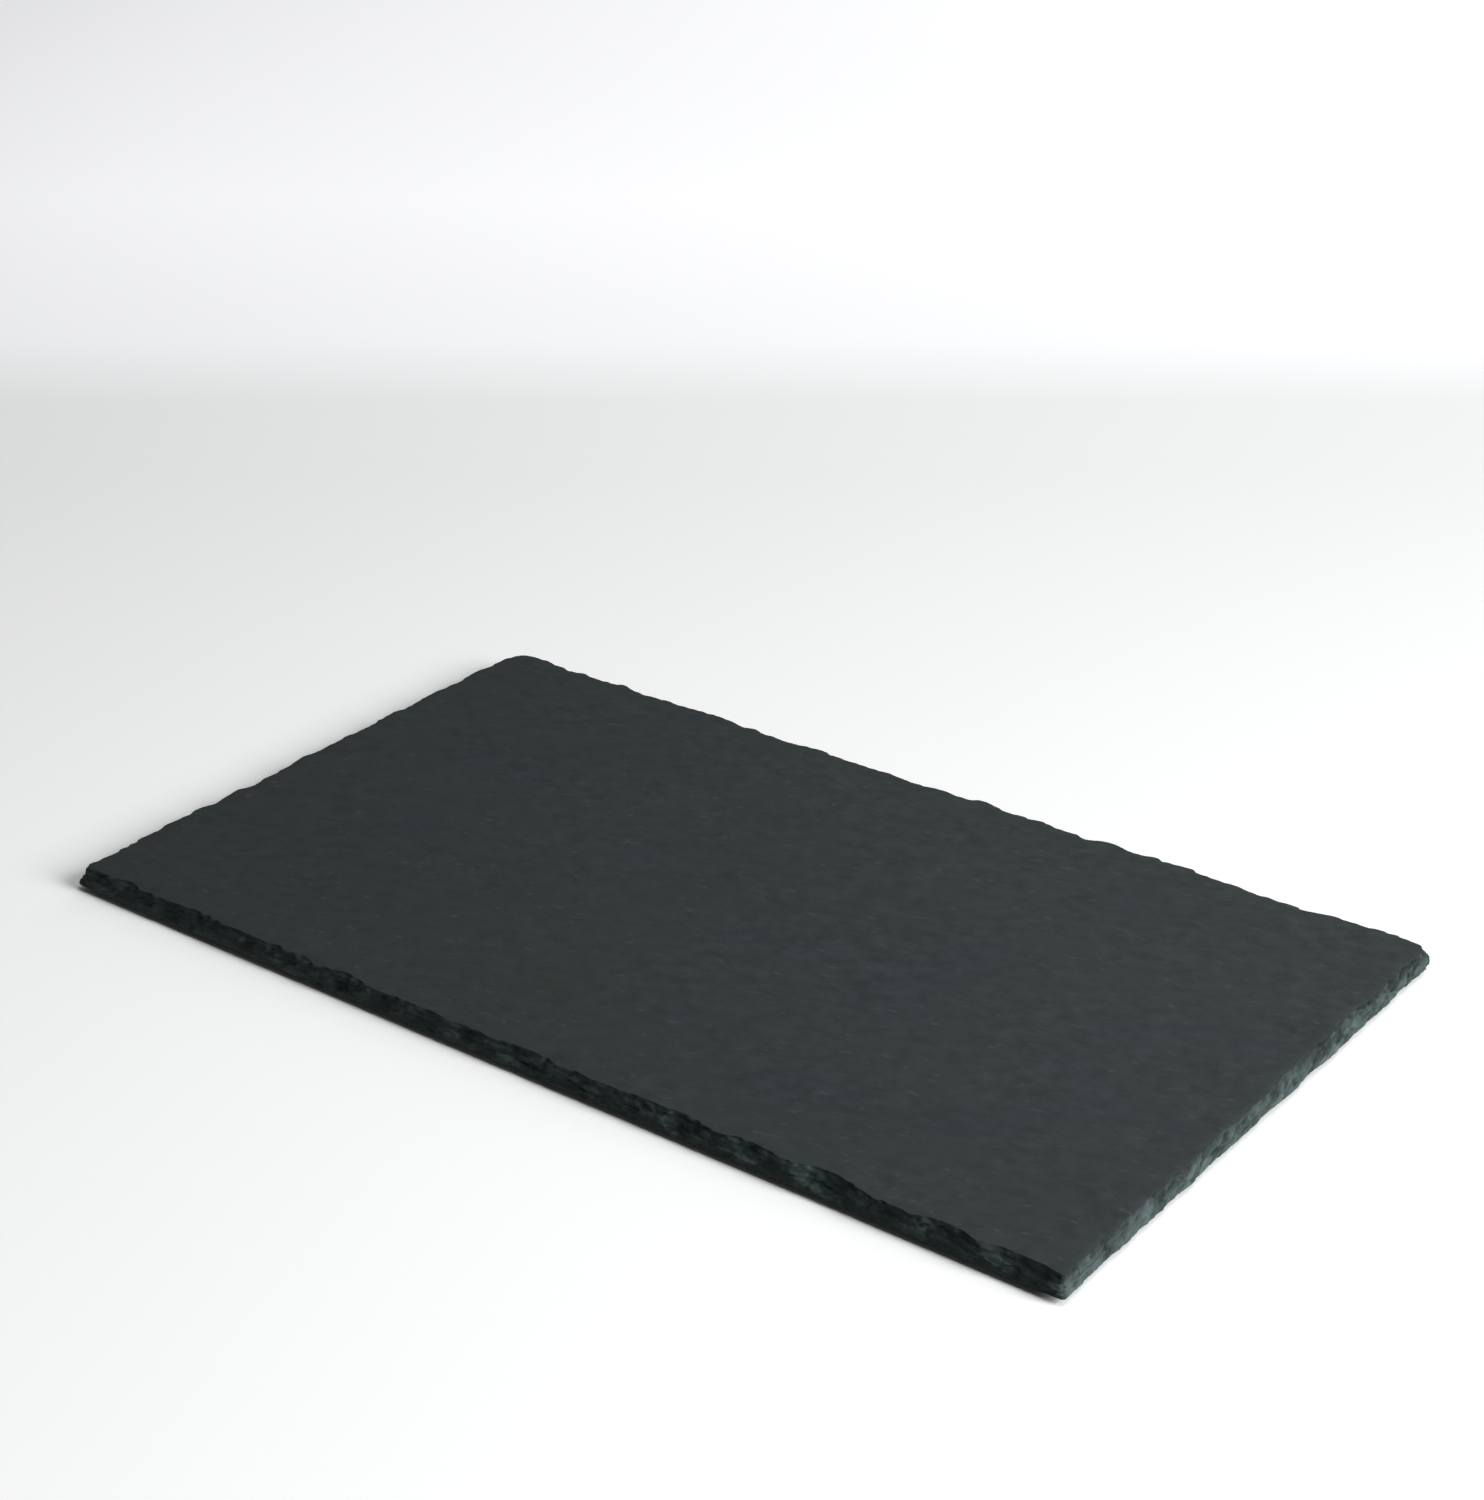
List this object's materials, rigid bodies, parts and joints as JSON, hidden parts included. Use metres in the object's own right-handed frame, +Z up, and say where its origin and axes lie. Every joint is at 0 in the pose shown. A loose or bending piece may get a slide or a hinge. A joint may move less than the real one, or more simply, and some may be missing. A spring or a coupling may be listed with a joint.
{
  "type": "slate serving board",
  "caption": "Flat rectangular serving board of split slate with hand-dressed, flaked edges, standing on small self-adhesive foam pads.",
  "frame": {"origin": "on the table, under the middle of the board", "axes": "+X along the long side towards the right, +Y along the short side towards the rear, +Z up out of the serving face"},
  "size_m": [0.3, 0.175, 0.0068],
  "materials": {
    "slate": "matt riven face with rough flaked edges",
    "pad_foam": "matt closed-cell foam",
    "adhesive_film": "satin film"
  },
  "bodies": {
    "root": {"slate_slab": "slate", "foot_pad_front_left": "pad_foam", "foot_pad_front_right": "pad_foam", "foot_pad_rear_left": "pad_foam", "foot_pad_rear_right": "pad_foam", "adhesive_front_left": "adhesive_film", "adhesive_front_right": "adhesive_film", "adhesive_rear_left": "adhesive_film", "adhesive_rear_right": "adhesive_film"}
  },
  "joints": []
}
